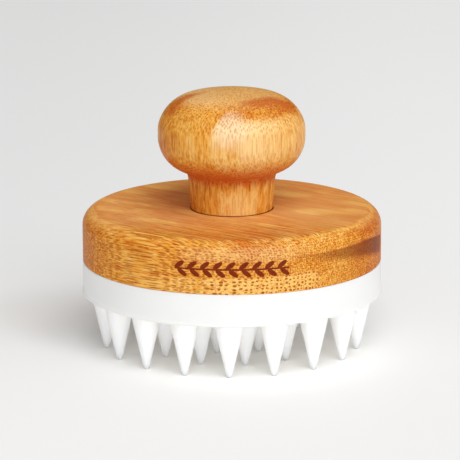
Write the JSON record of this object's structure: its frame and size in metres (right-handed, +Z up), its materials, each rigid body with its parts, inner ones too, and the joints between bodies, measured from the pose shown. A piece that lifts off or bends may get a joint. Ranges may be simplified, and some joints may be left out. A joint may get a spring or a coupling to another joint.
{
  "type": "scalp massager brush",
  "caption": "Round hand-held scalp massager: turned bamboo knob on a bamboo disc, with a white collar and a lift-out pad of soft tapered bristles.",
  "frame": {"origin": "on the brush's axis, in the plane that the bristle tips stand on", "axes": "+Z up through the disc and the knob; -Y is the front of the brush, +X its right side seen from the front"},
  "size_m": [0.0804, 0.0804, 0.0694],
  "materials": {
    "bamboo_knob": "satin lacquered bamboo",
    "bamboo_disc": "satin lacquered laminated bamboo",
    "collar_plastic": "satin white moulded plastic",
    "silicone": "soft satin white silicone",
    "plate_plastic": "moulded plastic, natural white",
    "insert_brass": "machined brass",
    "screw_steel": "zinc plated steel"
  },
  "bodies": {
    "pad": {"bristle_pad": "silicone", "pad_plate": "plate_plastic", "bristle_centre": "silicone", "bristle_inner_01": "silicone", "bristle_inner_02": "silicone", "bristle_inner_03": "silicone", "bristle_inner_04": "silicone", "bristle_inner_05": "silicone", "bristle_inner_06": "silicone", "bristle_middle_01": "silicone", "bristle_middle_02": "silicone", "bristle_middle_03": "silicone", "bristle_middle_04": "silicone", "bristle_middle_05": "silicone", "bristle_middle_06": "silicone", "bristle_middle_07": "silicone", "bristle_middle_08": "silicone", "bristle_middle_09": "silicone", "bristle_middle_10": "silicone", "bristle_middle_11": "silicone", "bristle_middle_12": "silicone", "bristle_outer_01": "silicone", "bristle_outer_02": "silicone", "bristle_outer_03": "silicone", "bristle_outer_04": "silicone", "bristle_outer_05": "silicone", "bristle_outer_06": "silicone", "bristle_outer_07": "silicone", "bristle_outer_08": "silicone", "bristle_outer_09": "silicone", "bristle_outer_10": "silicone", "bristle_outer_11": "silicone", "bristle_outer_12": "silicone", "bristle_outer_13": "silicone", "bristle_outer_14": "silicone", "bristle_outer_15": "silicone", "bristle_outer_16": "silicone", "bristle_outer_17": "silicone", "bristle_outer_18": "silicone"},
    "handle": {"collar": "collar_plastic", "collar_screws": "screw_steel", "disc": "bamboo_disc", "knob": "bamboo_knob", "knob_insert": "insert_brass", "handle_screw": "screw_steel", "handle_washer": "screw_steel"}
  },
  "joints": [
    {"name": "handle_lift_off", "type": "slide", "parent": "pad", "child": "handle", "axis": [0, 0, 1], "range_m": [0, 0.03]}
  ]
}
